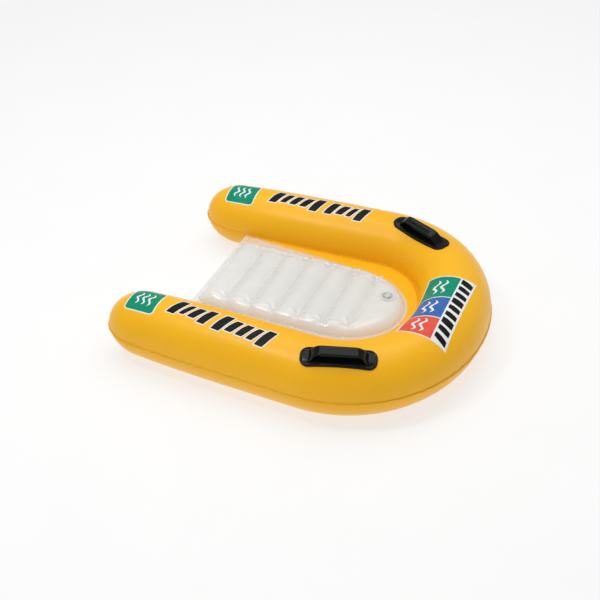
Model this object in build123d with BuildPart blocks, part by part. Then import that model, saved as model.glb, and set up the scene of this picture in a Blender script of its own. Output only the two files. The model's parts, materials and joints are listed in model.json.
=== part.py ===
from build123d import *
import os
from math import cos, pi, radians, sin

# Inflatable kickboard float: a U-shaped air tube round a clear air deck, with two grab handles.
# The tube is welded from two sheets that meet in one flat seam. Inside the U the same sheets run on
# as a web, and the clear deck is welded to it. Each of the two air chambers has its own stem valve.
# Frame: +X to the rider's right, +Y towards the round bow, +Z up, floor at z = 0, and the origin
# under the middle of the tube's outline. Millimetres.

# ---- Tube ----
overall_length = 760.0  # over the inflated tube, without the seam's fin
overall_width = 655.0
bow_tube_radius = 78.2
arm_tube_radius = 75.8
tip_tube_radius = 70.5  # where the rounded end of an arm starts
tip_length = 88.7  # length of that rounded end
shoulder_y = 75.0  # where the float is widest
bow_fullness = 0.58  # 0.552 would make the bow an ellipse
tip_tuck = 14.0  # how much nearer the middle each arm's axis is at its tip
film = 0.5
floor_sag = 0.2  # how far the arms' underside is pressed flat where the float rests
seam_drop = 5.0  # from the tube's axis down to the seam
seam_fin = 2.5  # how far the welded edge stands out from the tube
tube_stations = 25

# ---- Deck ----
deck_set_in = 131.0  # from the tips' ends forward to the deck's rear edge
rear_hem = 9.0
side_web = 47.0  # from the tube to the deck's air chamber, beside it
front_web = 26.6  # and in front of it
nose_length = 143.0  # length of the chamber's half-elliptical front
chamber_corner = 26.0
chamber_round = 19.0
dome_rise = 24.0  # from the seam to the top of a bulge
rib_rise = 14.0  # from the seam to the top of a rib
web_gap = 1.0  # between the web's edge and the chamber
hem_rear_gap = 3.6  # between the clear sheet and the tube, at the rear corners
hem_side = 12.0  # how far the clear sheet laps over the web, beside the nose
hem_front = 6.0
rib_count = 6
first_chamber = 64.0  # length of the rear-most bulge
last_chamber = 91.0  # length of the nose's bulge, which holds the valve
rib_end_gap = 3.0  # air passage past a rib's end, beyond the chamber's rounding

# ---- Handles ----
right_handle_distance = 309.0  # along the tube's axis from the middle of the bow
left_handle_distance = 279.0
right_handle_lean = 19.0  # degrees away from the middle of the float
left_handle_lean = -14.0
pad_length = 154.0
pad_width = 43.0
pad_thickness = 2.6
pad_corner = 18.0
bead_width = 4.0
bead_height = 1.2
grip_width = 22.0
grip_thickness = 7.0
grip_rise = 22.0  # from the tube to the middle of the grip
grip_top_half = 46.0
grip_foot_half = 59.0
grip_bend = 12.0
foot_depth = 8.0

# ---- Valves ----
deck_valve_side_room = 55.93  # from the deck valve's axis to the chamber's left edge
tube_valve_distance = 500.0
tube_valve_lean = 58.0
flange_radius = 19.0
flange_thickness = 1.2
recess_radius = 11.5
recess_wall = 1.0
recess_depth = 2.5
stem_radius = 5.2
bore_radius = 3.1
stem_top = 0.6  # above the film, while the stem is pressed in
stem_bottom = -14.0
diaphragm_wall = 0.6
diaphragm_depth = 13.0
running_gap = 0.1
cap_radius = 6.6
cap_thickness = 1.6
peg_length = 3.5
peg_taper = 0.6
tab_length = 2.8
tab_width = 5.0
hinge_distance = 8.4  # from the stem's axis to the tether's hinge
knuckle_radius = 0.65
tether_width = 3.2
tether_thickness = 0.8
lug_depth = 1.7
cheek_thickness = 0.8
cheek_reach = 0.8
flap_radius = 4.6
flap_thickness = 0.6
flap_hinge_distance = 4.8
flap_knuckle_radius = 0.4

# ---- Places worked out from those sizes ----
axis_z = arm_tube_radius - floor_sag
seam_z = axis_z - seam_drop
seam_plane = Plane.XY.offset(seam_z)
bow_y = overall_length / 2 - bow_tube_radius
tip_y = -overall_length / 2 + tip_length
shoulder_x = overall_width / 2 - arm_tube_radius
tip_x = shoulder_x - tip_tuck
deck_rear_y = -overall_length / 2 + deck_set_in
chamber_rear_y = deck_rear_y + rear_hem
chamber_front_y = bow_y - bow_tube_radius - front_web
nose_y = chamber_front_y - nose_length
narrowest_gap_half = tip_x - tip_tube_radius
chamber_half = narrowest_gap_half - side_web
first_rib_y = chamber_rear_y + first_chamber
rib_pitch = (chamber_front_y - last_chamber - first_rib_y) / (rib_count - 1)
rib_places = [first_rib_y + rib_pitch * i for i in range(rib_count)]
deck_valve_y = chamber_front_y - last_chamber / 2
beyond = 2 * max(overall_length, overall_width)


def write(builder, name):
    """Labels the finished piece and writes its file."""
    builder.part.label = name
    export_step(builder.part, f"parts/{name}.step")


# ---- The tube's axis, from the left tip round the bow to the right tip ----
def axis_path(plane):
    """The arms' straight axes, joined round the bow by a curve that runs on from each of them."""
    arm_run = Vector(shoulder_x - tip_x, shoulder_y - tip_y).normalized()
    reach = bow_fullness * (bow_y - shoulder_y)
    with BuildLine(plane) as path:
        for side in (-1, 1):
            Line((side * tip_x, tip_y), (side * shoulder_x, shoulder_y))
            Bezier(
                (side * shoulder_x, shoulder_y),
                (side * (shoulder_x + reach * arm_run.X), shoulder_y + reach * arm_run.Y),
                (side * bow_fullness * shoulder_x, bow_y),
                (0, bow_y),
            )
    return path


axis_line = axis_path(Plane.XY.offset(axis_z)).wire()
half_length = axis_line.length / 2


def tube_radius(distance):
    """The tube's radius at a distance along its axis from the middle of the bow, on either side.

    It eases from the bow's size to the arms' over the first half of a side, and narrows to the tip
    over the second half, slowly at first.
    """
    share = min(abs(distance) / half_length, 1)
    if share < 0.5:
        return arm_tube_radius + (bow_tube_radius - arm_tube_radius) * cos(pi * share) ** 2
    return arm_tube_radius - (arm_tube_radius - tip_tube_radius) * (2 * share - 1) ** 4


def axis_point(distance):
    """The point on the tube's axis at a distance from the middle of the bow, right side positive."""
    return axis_line.position_at(half_length + distance, position_mode=PositionMode.LENGTH)


def axis_direction(distance):
    """The direction of the tube's axis there, pointing on towards the right tip."""
    return axis_line.tangent_at(half_length + distance, position_mode=PositionMode.LENGTH)


def tube_body(extra=0.0):
    """The whole inflated tube as one solid, standing `extra` outside the film's outer face.

    Its underside is flat where it rests: the arms only just, and the fuller bow a little more.
    """
    with BuildPart() as body:
        for i in range(tube_stations):
            distance = half_length * (2 * i / (tube_stations - 1) - 1)
            section = Plane(axis_point(distance), x_dir=(0, 0, 1), z_dir=axis_direction(distance))
            with BuildSketch(section):
                Circle(tube_radius(distance) + extra)
        loft()
        for side in (-1, 1):
            rearward = axis_direction(side * half_length) * side
            tip_plane = Plane(axis_point(side * half_length), x_dir=rearward, z_dir=(0, 0, 1))
            end_radius = tip_tube_radius + extra
            end_length = tip_length + extra
            with BuildSketch(tip_plane):
                with BuildLine():
                    EllipticalCenterArc((0, 0), end_length, end_radius, start_angle=0, arc_size=90)
                    Polyline((0, end_radius), (0, 0), (end_length, 0))
                make_face()
            revolve(axis=Axis(tip_plane.origin, rearward))
        split(bisect_by=Plane.XY.offset(-extra), keep=Keep.TOP)
    return body.part


tube_outside = tube_body()
tube_inside = tube_body(-film)
fin_reach = tube_body(seam_fin)


def surface_plane(distance, lean):
    """A plane touching the tube. Its x runs along the tube and its z points straight out.

    `lean` is the angle in degrees from the top of the tube, positive away from the float's middle.
    """
    along = axis_direction(distance)
    outward = Vector(0, 0, 1).cross(along)
    normal = outward * sin(radians(lean)) + Vector(0, 0, cos(radians(lean)))
    return Plane(axis_point(distance) + normal * tube_radius(distance), x_dir=along, z_dir=normal)


# ---- Plans of the deck, in the seam's plane ----
def chamber_plan(extra=0.0):
    """The plan of the deck's air chamber, grown by `extra` all round."""
    with BuildSketch(seam_plane) as plan:
        with BuildLine():
            EllipticalCenterArc(
                (0, nose_y),
                chamber_half + extra,
                nose_length + extra,
                start_angle=0,
                arc_size=180,
            )
            Polyline(
                (-chamber_half - extra, nose_y),
                (-chamber_half - extra, chamber_rear_y - extra),
                (chamber_half + extra, chamber_rear_y - extra),
                (chamber_half + extra, nose_y),
            )
        make_face()
        fillet(plan.vertices().group_by(Axis.Y)[0], chamber_corner + extra)
    return plan.sketch


with BuildSketch(seam_plane) as inside_the_u:
    with BuildLine():
        add(axis_path(Plane.XY).line)
        Line((tip_x, tip_y), (-tip_x, tip_y))
    make_face()

with BuildSketch(seam_plane) as web_plan:
    add(inside_the_u.sketch)
    with Locations((0, deck_rear_y)):
        Rectangle(beyond, beyond, align=(Align.CENTER, Align.MIN), mode=Mode.INTERSECT)
    add(chamber_plan(web_gap), mode=Mode.SUBTRACT)
    with Locations((0, nose_y)):  # the deck's rear edge has no web: clear sheet is welded to clear
        clear_width = 2 * (chamber_half + web_gap)
        Rectangle(clear_width, beyond, align=(Align.CENTER, Align.MAX), mode=Mode.SUBTRACT)

with BuildSketch(seam_plane) as hem_plan:
    with BuildLine():
        rear_distance = half_length - (deck_rear_y - tip_y)
        hem_rear_half = axis_point(rear_distance).X - tube_radius(rear_distance) - hem_rear_gap
        hem_half = chamber_half + hem_side
        EllipticalCenterArc((0, nose_y), hem_half, nose_length + hem_front, start_angle=0, arc_size=180)
        Polyline(
            (-hem_half, nose_y),
            (-hem_rear_half, deck_rear_y),
            (hem_rear_half, deck_rear_y),
            (hem_half, nose_y),
        )
    make_face()
    add(chamber_plan(), mode=Mode.SUBTRACT)


# ---- Tube sheets ----
def tube_sheet(upper):
    """One of the tube's two sheets: its half of the tube, the fin outside and the web inside."""
    with BuildPart() as flat:
        with BuildSketch(seam_plane):
            Rectangle(beyond, beyond)
        extrude(amount=film if upper else -film)
        add(fin_reach, mode=Mode.INTERSECT)
        extrude(web_plan.sketch, amount=film if upper else -film)
        add(tube_outside, mode=Mode.SUBTRACT)
    with BuildPart() as sheet:
        add(tube_outside)
        add(tube_inside, mode=Mode.SUBTRACT)
        split(bisect_by=seam_plane, keep=Keep.TOP if upper else Keep.BOTTOM)
        add(flat.part)
    return sheet


tube_top_sheet = tube_sheet(upper=True)
tube_bottom_sheet = tube_sheet(upper=False)


# ---- Deck sheets and ribs ----
def wave_height(extra):
    """Heights above the seam of the rib lines and of the bulges' tops, `extra` outside the film."""
    return seam_z + rib_rise + extra, seam_z + dome_rise + extra


def deck_pillow(extra=0.0):
    """The upper half of the inflated deck as one solid, standing `extra` outside the film."""
    valley, crest = wave_height(extra)
    lines = [chamber_rear_y - extra, *rib_places, chamber_front_y + extra]
    with BuildPart() as pillow:
        extrude(chamber_plan(extra), amount=dome_rise + extra)
        fillet(pillow.faces().sort_by(Axis.Z)[-1].edges(), chamber_round + extra)
        with BuildSketch(Plane.YZ):
            with BuildLine():
                for rear, front in zip(lines, lines[1:]):
                    ThreePointArc((rear, valley), ((rear + front) / 2, crest), (front, valley))
                Polyline((lines[-1], valley), (lines[-1], seam_z), (lines[0], seam_z), (lines[0], valley))
            make_face()
        extrude(amount=beyond, both=True, mode=Mode.INTERSECT)
    return pillow.part


deck_outside = deck_pillow()
deck_inside = deck_pillow(-film)


def chamber_half_at(y):
    """Half the width of the deck's chamber at y."""
    if y <= nose_y:
        return chamber_half
    return chamber_half * (1 - ((y - nose_y) / nose_length) ** 2) ** 0.5


deck_valve_x = deck_valve_side_room - chamber_half_at(deck_valve_y)
deck_valve_seat = Plane((deck_valve_x, deck_valve_y, seam_z + dome_rise))


def deck_sheet(upper, tube_sheet_beside):
    """One of the deck's two clear sheets: its half of the chamber, and the hem lapped on the web."""
    with BuildPart() as sheet:
        add(deck_outside)
        add(deck_inside, mode=Mode.SUBTRACT)
        if not upper:
            mirror(about=seam_plane, mode=Mode.REPLACE)
        extrude(hem_plan.sketch, amount=2 * film if upper else -2 * film)
        add(tube_sheet_beside, mode=Mode.SUBTRACT)
    return sheet


deck_top_sheet = deck_sheet(True, tube_top_sheet.part)
deck_bottom_sheet = deck_sheet(False, tube_bottom_sheet.part)


def deck_rib(y):
    """An upright strip inside the deck, welded to both clear sheets along a rib line."""
    with BuildPart() as rib:
        with BuildSketch(Plane.XZ.offset(-y)):
            with Locations((0, seam_z)):
                rib_half = chamber_half_at(y) - chamber_round - rib_end_gap
                SlotOverall(2 * rib_half, 2 * (rib_rise - film))
        extrude(amount=film / 2, both=True)
    return rib


# ---- Handles ----
pad_reach = tube_body(pad_thickness)
bead_reach = tube_body(pad_thickness + bead_height)


def handle(distance, lean):
    """A moulded grab handle: a pad that hugs the tube, a raised rim round it and an arched grip."""
    seat = surface_plane(distance, lean)
    side_on = Plane(seat.origin, x_dir=seat.x_dir, z_dir=seat.x_dir.cross(seat.z_dir))
    with BuildPart() as pad:
        with BuildSketch(seat.offset(-bow_tube_radius / 2)):
            RectangleRounded(pad_length, pad_width, pad_corner)
        extrude(amount=bow_tube_radius)
        add(pad_reach, mode=Mode.INTERSECT)
    with BuildPart() as bead:
        with BuildSketch(seat.offset(-bow_tube_radius / 2)):
            RectangleRounded(pad_length, pad_width, pad_corner)
            inner_corner = pad_corner - bead_width
            RectangleRounded(
                pad_length - 2 * bead_width, pad_width - 2 * bead_width, inner_corner, mode=Mode.SUBTRACT
            )
        extrude(amount=bow_tube_radius)
        add(bead_reach, mode=Mode.INTERSECT)
    with BuildPart() as moulding:
        with BuildLine(side_on) as arch:
            FilletPolyline(
                (-grip_foot_half, -foot_depth),
                (-grip_top_half, grip_rise),
                (grip_top_half, grip_rise),
                (grip_foot_half, -foot_depth),
                radius=grip_bend,
            )
        with BuildSketch(Plane(arch.line @ 0, x_dir=side_on.z_dir, z_dir=arch.line % 0)):
            RectangleRounded(grip_width, grip_thickness, grip_thickness / 2 - film)
        sweep()
        add(pad.part)
        add(bead.part)
        add(tube_outside, mode=Mode.SUBTRACT)
    return moulding


right_handle = handle(right_handle_distance, right_handle_lean)
left_handle = handle(-left_handle_distance, left_handle_lean)


# ---- Valves ----
def ring_sector(plane, inner, outer, low, high):
    """A plain ring round the plane's z axis, between two radii and two heights."""
    with BuildPart() as ring:
        with BuildSketch(plane.offset(low)):
            Circle(outer)
            if inner:
                Circle(inner, mode=Mode.SUBTRACT)
        extrude(amount=high - low)
    return ring.part


def turned(plane, points):
    """A solid of revolution round the plane's z axis, from an outline of (radius, height) points."""
    side_on = Plane(plane.origin, x_dir=plane.x_dir, z_dir=-plane.y_dir)
    with BuildPart() as solid:
        with BuildSketch(side_on):
            with BuildLine():
                Polyline(*points, close=True)
            make_face()
        revolve(axis=Axis(plane.origin, plane.z_dir))
    return solid.part


def valve_collar(seat, film_outside, flange_outside):
    """The flange that is welded on the film, and the short recess wall that passes through it."""
    reach = 2 * flange_radius
    with BuildPart() as collar:
        add(ring_sector(seat, 0, flange_radius, -reach, reach))
        add(flange_outside, mode=Mode.INTERSECT)
        add(film_outside, mode=Mode.SUBTRACT)
        add(ring_sector(seat, 0, recess_radius + recess_wall, -recess_depth, flange_thickness))
        add(ring_sector(seat, 0, recess_radius, -reach, reach), mode=Mode.SUBTRACT)
    return collar


def valve_diaphragm(seat):
    """The thin cone that lets the stem be pressed in and pulled out."""
    foot = stem_radius + running_gap
    with BuildPart() as cone:
        add(
            turned(
                seat,
                [
                    (recess_radius, -recess_depth),
                    (recess_radius, diaphragm_wall - recess_depth),
                    (recess_radius - 2 * diaphragm_wall, diaphragm_wall - recess_depth),
                    (foot, 2 * diaphragm_wall - diaphragm_depth),
                    (foot, -diaphragm_depth),
                    (recess_radius - 2 * diaphragm_wall, -recess_depth - diaphragm_wall),
                ],
            )
        )
    return cone


def valve_stem(seat):
    """The tube that takes the pump's nozzle, with the lug that the plug's tether hinges on."""
    knuckle_z = stem_top + running_gap + knuckle_radius
    with BuildPart() as stem:
        add(ring_sector(seat, 0, stem_radius, stem_bottom, stem_top))
        lug_length = hinge_distance + cheek_reach
        half_lug = tether_width / 2 + running_gap + cheek_thickness
        with BuildSketch(seat.offset(stem_top - running_gap - lug_depth)):
            with Locations((lug_length / 2, 0)):
                Rectangle(lug_length, 2 * half_lug)
        extrude(amount=lug_depth)
        with BuildSketch(seat.offset(stem_top - running_gap)):
            with Locations((hinge_distance, half_lug - cheek_thickness / 2)):
                Rectangle(2 * cheek_reach, cheek_thickness)
            with Locations((hinge_distance, cheek_thickness / 2 - half_lug)):
                Rectangle(2 * cheek_reach, cheek_thickness)
        extrude(amount=knuckle_z + knuckle_radius - stem_top + running_gap)
        add(ring_sector(seat, 0, bore_radius, 2 * stem_bottom, -2 * stem_bottom), mode=Mode.SUBTRACT)
    return stem


def valve_plug(seat):
    """The plug: a cap with a tapered peg, a pull tab, and the tether that it swings on."""
    cap_bottom = stem_top + running_gap
    cap_top = cap_bottom + cap_thickness
    peg_radius = bore_radius - running_gap
    knuckle_z = cap_bottom + knuckle_radius
    outline = [
        (0, cap_top),
        (cap_radius, cap_top),
        (cap_radius, cap_bottom),
        (peg_radius, cap_bottom),
        (peg_radius - peg_taper, cap_bottom - peg_length),
        (0, cap_bottom - peg_length),
    ]
    with BuildPart() as plug:
        add(turned(seat, outline))
        with BuildSketch(seat.offset(cap_top - tether_thickness)):
            with Locations((-(cap_radius + tab_length) / 2, 0)):
                Rectangle(cap_radius + tab_length, tab_width)
            with Locations((hinge_distance / 2, 0)):
                Rectangle(hinge_distance, tether_width)
        extrude(amount=tether_thickness)
        across = Plane(seat.origin, x_dir=seat.x_dir, z_dir=-seat.y_dir)
        with BuildSketch(across):
            with Locations((hinge_distance, knuckle_z)):
                Circle(knuckle_radius)
        extrude(amount=tether_width / 2, both=True)
    return plug


def valve_flap(seat):
    """The thin disc under the stem that stops air from coming back out."""
    flap_top = stem_bottom - running_gap
    across = Plane(seat.origin, x_dir=seat.x_dir, z_dir=-seat.y_dir)
    with BuildPart() as flap:
        add(ring_sector(seat, 0, flap_radius, flap_top - flap_thickness, flap_top))
        with BuildSketch(across):
            with Locations((-flap_hinge_distance, flap_top - flap_knuckle_radius)):
                Circle(flap_knuckle_radius)
        extrude(amount=tether_width / 2, both=True)
    return flap


tube_valve_seat = surface_plane(-tube_valve_distance, tube_valve_lean)
tube_flange_reach = tube_body(flange_thickness)
deck_flange_reach = deck_pillow(flange_thickness)
valves = {
    "deck_valve": (deck_valve_seat, deck_outside, deck_flange_reach),
    "tube_valve": (tube_valve_seat, tube_outside, tube_flange_reach),
}


def valve_hole(seat):
    """The hole in the film that a valve's recess wall fills."""
    return ring_sector(seat, 0, recess_radius + recess_wall, -flange_radius, flange_radius)


# ---- The two top sheets are cut for the valves ----
with BuildPart() as tube_top_sheet_cut:
    add(tube_top_sheet.part)
    add(valve_hole(tube_valve_seat), mode=Mode.SUBTRACT)
with BuildPart() as deck_top_sheet_cut:
    add(deck_top_sheet.part)
    add(valve_hole(deck_valve_seat), mode=Mode.SUBTRACT)

# ---- Files ----
os.makedirs("parts", exist_ok=True)
write(tube_top_sheet_cut, "tube_top_sheet")
write(tube_bottom_sheet, "tube_bottom_sheet")
write(deck_top_sheet_cut, "deck_top_sheet")
write(deck_bottom_sheet, "deck_bottom_sheet")
for number, y in enumerate(rib_places, start=1):
    write(deck_rib(y), f"deck_rib_{number}")
write(right_handle, "right_handle")
write(left_handle, "left_handle")
for name, (seat, film_outside, flange_outside) in valves.items():
    write(valve_collar(seat, film_outside, flange_outside), f"{name}_collar")
    write(valve_diaphragm(seat), f"{name}_diaphragm")
    write(valve_stem(seat), f"{name}_stem")
    write(valve_plug(seat), f"{name}_plug")
    write(valve_flap(seat), f"{name}_flap")
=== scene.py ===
# %% [markdown]
# # An inflatable kickboard float
#
# The float is a U-shaped air tube of yellow vinyl film round a ribbed deck of clear film, with two
# moulded grab handles and two push-in valves. Film is thin and soft, so nearly every surface here is
# one smooth sheet that air has pushed out from a flat weld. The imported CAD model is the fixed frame:
# it says where everything is, and these cells build better-looking sheets in the same places.

# %% Load the fixed frame
import json

import bmesh
import bpy
import numpy as np
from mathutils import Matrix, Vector


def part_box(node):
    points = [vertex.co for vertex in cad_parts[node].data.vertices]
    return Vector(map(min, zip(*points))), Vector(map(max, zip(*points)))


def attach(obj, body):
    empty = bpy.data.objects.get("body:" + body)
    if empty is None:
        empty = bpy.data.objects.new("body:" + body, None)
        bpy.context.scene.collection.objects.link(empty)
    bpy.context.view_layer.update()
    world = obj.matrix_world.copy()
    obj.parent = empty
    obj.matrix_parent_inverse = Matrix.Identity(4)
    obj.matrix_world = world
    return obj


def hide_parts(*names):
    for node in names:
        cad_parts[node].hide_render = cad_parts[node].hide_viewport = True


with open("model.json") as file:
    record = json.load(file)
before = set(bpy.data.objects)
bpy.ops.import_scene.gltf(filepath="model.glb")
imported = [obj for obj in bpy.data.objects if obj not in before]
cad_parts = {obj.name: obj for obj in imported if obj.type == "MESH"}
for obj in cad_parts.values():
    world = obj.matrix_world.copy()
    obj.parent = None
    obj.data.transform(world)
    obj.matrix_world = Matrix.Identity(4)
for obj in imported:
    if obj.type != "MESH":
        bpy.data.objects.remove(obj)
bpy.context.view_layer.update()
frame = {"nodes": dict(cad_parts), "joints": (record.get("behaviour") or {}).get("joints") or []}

# %% [markdown]
# ## The camera
#
# The float is seen from its front right, from well above, with a long lens, so that it looks like a
# catalogue picture. The camera aims a little to the right of the float's middle and behind it.

# %% Camera
camera_azimuth = np.radians(112.9)
camera_elevation = np.radians(36.5)
camera_distance = 2.542
camera_lens_mm = 69.5
seam_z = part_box("tube_bottom_sheet")[1].z
aim = Vector((0.032, -0.028, seam_z + 0.005))

camera_back = Vector((
    np.sin(camera_azimuth) * np.cos(camera_elevation),
    -np.cos(camera_azimuth) * np.cos(camera_elevation),
    np.sin(camera_elevation),
))
camera = bpy.data.objects.new("camera", bpy.data.cameras.new("camera"))
bpy.context.scene.collection.objects.link(camera)
camera.data.lens = camera_lens_mm
camera.data.clip_end = 30.0
camera.location = aim + camera_back * camera_distance
camera.rotation_mode = "QUATERNION"
camera.rotation_quaternion = (-camera_back).to_track_quat("-Z", "Y")
bpy.context.scene.camera = camera
print("camera stands at", [round(v, 3) for v in camera.location])

# %% [markdown]
# ## From numbers to a piece
#
# Every new piece is a grid of points worked out by numpy. One helper joins the grid's neighbours with
# four-sided faces, and another turns points and faces into a Blender object. Rows that end in a single
# point, as at the tip of a tube, are merged there, so the surface is closed.

# %% Helpers that make meshes
def grid_faces(rows, columns, wrap=False, flip=False):
    """Four-sided faces between neighbours of a rows x columns grid. `wrap` joins the last column to
    the first, and `flip` turns the faces over."""
    index = np.arange(rows * columns).reshape(rows, columns)
    if wrap:
        index = np.hstack([index, index[:, :1]])
    faces = np.stack([index[:-1, :-1], index[1:, :-1], index[1:, 1:], index[:-1, 1:]], -1)
    faces = faces.reshape(-1, 4)
    return faces[:, ::-1] if flip else faces


def make_piece(name, points, faces, body, material, marks=None, merge=2e-5, outward=False):
    """An object from points (n, 3) and faces (m, 4). `marks` are float attributes, one number for
    each point. `outward` turns all the faces of a closed shape outwards."""
    mesh = bpy.data.meshes.new(name)
    mesh.from_pydata(points.reshape(-1, 3).tolist(), [], faces.tolist())
    for mark, values in (marks or {}).items():
        attribute = mesh.attributes.new(mark, "FLOAT", "POINT")
        spread = np.broadcast_to(values, points.shape[:-1]).astype(np.float32)
        attribute.data.foreach_set("value", spread.ravel())
    shape = bmesh.new()
    shape.from_mesh(mesh)
    bmesh.ops.remove_doubles(shape, verts=shape.verts, dist=merge)
    bmesh.ops.dissolve_degenerate(shape, edges=shape.edges, dist=1e-7)
    if outward:
        bmesh.ops.recalc_face_normals(shape, faces=shape.faces)
    shape.to_mesh(mesh)
    shape.free()
    mesh.polygons.foreach_set("use_smooth", np.ones(len(mesh.polygons), bool))
    mesh.materials.append(material)
    piece = bpy.data.objects.new(name, mesh)
    bpy.context.scene.collection.objects.link(piece)
    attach(piece, body)
    return piece


def join_grids(grids):
    """Several (points, faces) grids as one, each with its own numbering."""
    points, faces, start = [], [], 0
    for grid_points, its_faces in grids:
        points.append(grid_points.reshape(-1, 3))
        faces.append(its_faces + start)
        start += points[-1].shape[0]
    return np.concatenate(points), np.concatenate(faces)


def run_along(line):
    """How far along a line each of its points is, from its first point."""
    return np.concatenate([[0], np.cumsum(np.linalg.norm(np.diff(line, axis=0), axis=1))])


def even_points(line, count, endpoint=True):
    """`count` points (x, y) evenly spaced along a line, with its last point or without."""
    run = run_along(line)
    even = np.linspace(0, run[-1], count, endpoint=endpoint)
    return np.stack([np.interp(even, run, line[:, i]) for i in (0, 1)], -1)


def thicken(piece, thickness, offset=-1.0):
    """Gives a sheet its thickness. With offset -1 the film grows inwards from the surface made."""
    solid = piece.modifiers.new("film_thickness", "SOLIDIFY")
    solid.thickness = thickness
    solid.offset = offset


# %% [markdown]
# ## Surface effects that several finishes share
#
# Vinyl film is never quite even. It has a very fine grain from the rollers that pressed it, its gloss
# is a little duller where hands have rubbed it, and its colour drifts where the film is stretched thin.
# Where film is welded to film, the heated tool leaves a small diamond pattern. Each effect is one node
# group with named sockets, so that the yellow, the clear and the black vinyl can all use it.

# %% Node groups
def new_group(name, inputs, outputs):
    """An empty node group. `inputs` are numbers or colours by name, after a vector that every group
    has, and `outputs` are kinds of socket by name."""
    group = bpy.data.node_groups.new(name, "ShaderNodeTree")
    group.interface.new_socket("Vector", in_out="INPUT", socket_type="NodeSocketVector")
    for socket_name, value in inputs.items():
        kind = "NodeSocketColor" if isinstance(value, tuple) else "NodeSocketFloat"
        socket = group.interface.new_socket(socket_name, in_out="INPUT", socket_type=kind)
        socket.default_value = value
    for socket_name, kind in outputs.items():
        group.interface.new_socket(socket_name, in_out="OUTPUT", socket_type=kind)
    return group, group.nodes.new("NodeGroupInput"), group.nodes.new("NodeGroupOutput")


def set_inputs(node, values):
    """Sets a node's inputs to the values given by name."""
    for name, value in values.items():
        node.inputs[name].default_value = value


def add_noise(group, given, scale_name, detail, roughness=0.5):
    """A noise texture in a group. Its scale is the group's input of that name."""
    noise = group.nodes.new("ShaderNodeTexNoise")
    set_inputs(noise, {"Detail": detail, "Roughness": roughness})
    group.links.new(given.outputs["Vector"], noise.inputs["Vector"])
    group.links.new(given.outputs[scale_name], noise.inputs["Scale"])
    return noise.outputs["Fac"]


def add_range(group, value, low, high):
    """A node that stretches a value, so that the part from low to high fills its range."""
    node = group.nodes.new("ShaderNodeMapRange")
    set_inputs(node, {"From Min": low, "From Max": high})
    group.links.new(value, node.inputs["Value"])
    return node


def add_math(group, operation, first, second):
    """A math node. Each input is a socket or a number."""
    node = group.nodes.new("ShaderNodeMath")
    node.operation = operation
    for i, value in enumerate((first, second)):
        if isinstance(value, (int, float)):
            node.inputs[i].default_value = value
        else:
            group.links.new(value, node.inputs[i])
    return node.outputs[0]


def build_film_surface():
    """Roughness that drifts with handling, and the height of the rollers' fine grain."""
    group, given, made = new_group(
        "film_surface",
        {"Grain Scale": 900.0, "Smudge Scale": 14.0, "Glossy": 0.25, "Dull": 0.4},
        {"Roughness": "NodeSocketFloat", "Height": "NodeSocketFloat"},
    )
    sharper = add_range(group, add_noise(group, given, "Smudge Scale", detail=4.0), 0.35, 0.7)
    group.links.new(given.outputs["Glossy"], sharper.inputs["To Min"])
    group.links.new(given.outputs["Dull"], sharper.inputs["To Max"])
    grain = add_noise(group, given, "Grain Scale", detail=2.0, roughness=0.6)
    group.links.new(sharper.outputs["Result"], made.inputs["Roughness"])
    group.links.new(grain, made.inputs["Height"])
    return group


def build_colour_drift():
    """A slow, cloudy drift between two colours, as in film that is stretched unevenly."""
    group, given, made = new_group(
        "colour_drift",
        {"Scale": 5.0, "Thick Colour": (1, 1, 1, 1), "Thin Colour": (1, 1, 1, 1)},
        {"Color": "NodeSocketColor"},
    )
    ramp = add_range(group, add_noise(group, given, "Scale", detail=2.0), 0.3, 0.7)
    mix = group.nodes.new("ShaderNodeMix")
    mix.data_type = "RGBA"
    group.links.new(ramp.outputs["Result"], mix.inputs["Factor"])
    group.links.new(given.outputs["Thick Colour"], mix.inputs["A"])
    group.links.new(given.outputs["Thin Colour"], mix.inputs["B"])
    group.links.new(mix.outputs["Result"], made.inputs["Color"])
    return group


def build_weld_emboss():
    """The diamond pattern that a heated tool presses into welded film: two crossed sine waves."""
    group, given, made = new_group("weld_emboss", {"Pitch": 0.0016}, {"Height": "NodeSocketFloat"})
    split = group.nodes.new("ShaderNodeSeparateXYZ")
    group.links.new(given.outputs["Vector"], split.inputs["Vector"])
    waves = []
    for operation in ("ADD", "SUBTRACT"):
        across = add_math(group, operation, split.outputs["X"], split.outputs["Y"])
        turns = add_math(group, "DIVIDE", across, given.outputs["Pitch"])
        angle = add_math(group, "MULTIPLY", turns, 2 * np.pi)
        waves.append(add_math(group, "SINE", angle, 0.0))
    group.links.new(add_math(group, "MAXIMUM", *waves), made.inputs["Height"])
    return group


film_surface = build_film_surface()
colour_drift = build_colour_drift()
weld_emboss = build_weld_emboss()
print("node groups:", [g.name for g in bpy.data.node_groups])

# %% [markdown]
# ## Vinyl finishes
#
# All the finishes are one plastic, so one function makes them: drifting colour, a film surface, and a
# bump that adds the weld's diamonds where the piece carries the `weld` mark. Each call gives what is its
# own: the yellow is satin, the black moulding is glossier, and the clear film lets light through.

# %% Vinyl material
def use_group(tree, shared, place, values):
    """A shared group in a material, at the object's own coordinates. Returns its outputs."""
    node = tree.nodes.new("ShaderNodeGroup")
    node.node_tree = shared
    set_inputs(node, values)
    tree.links.new(place, node.inputs["Vector"])
    return node.outputs


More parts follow.
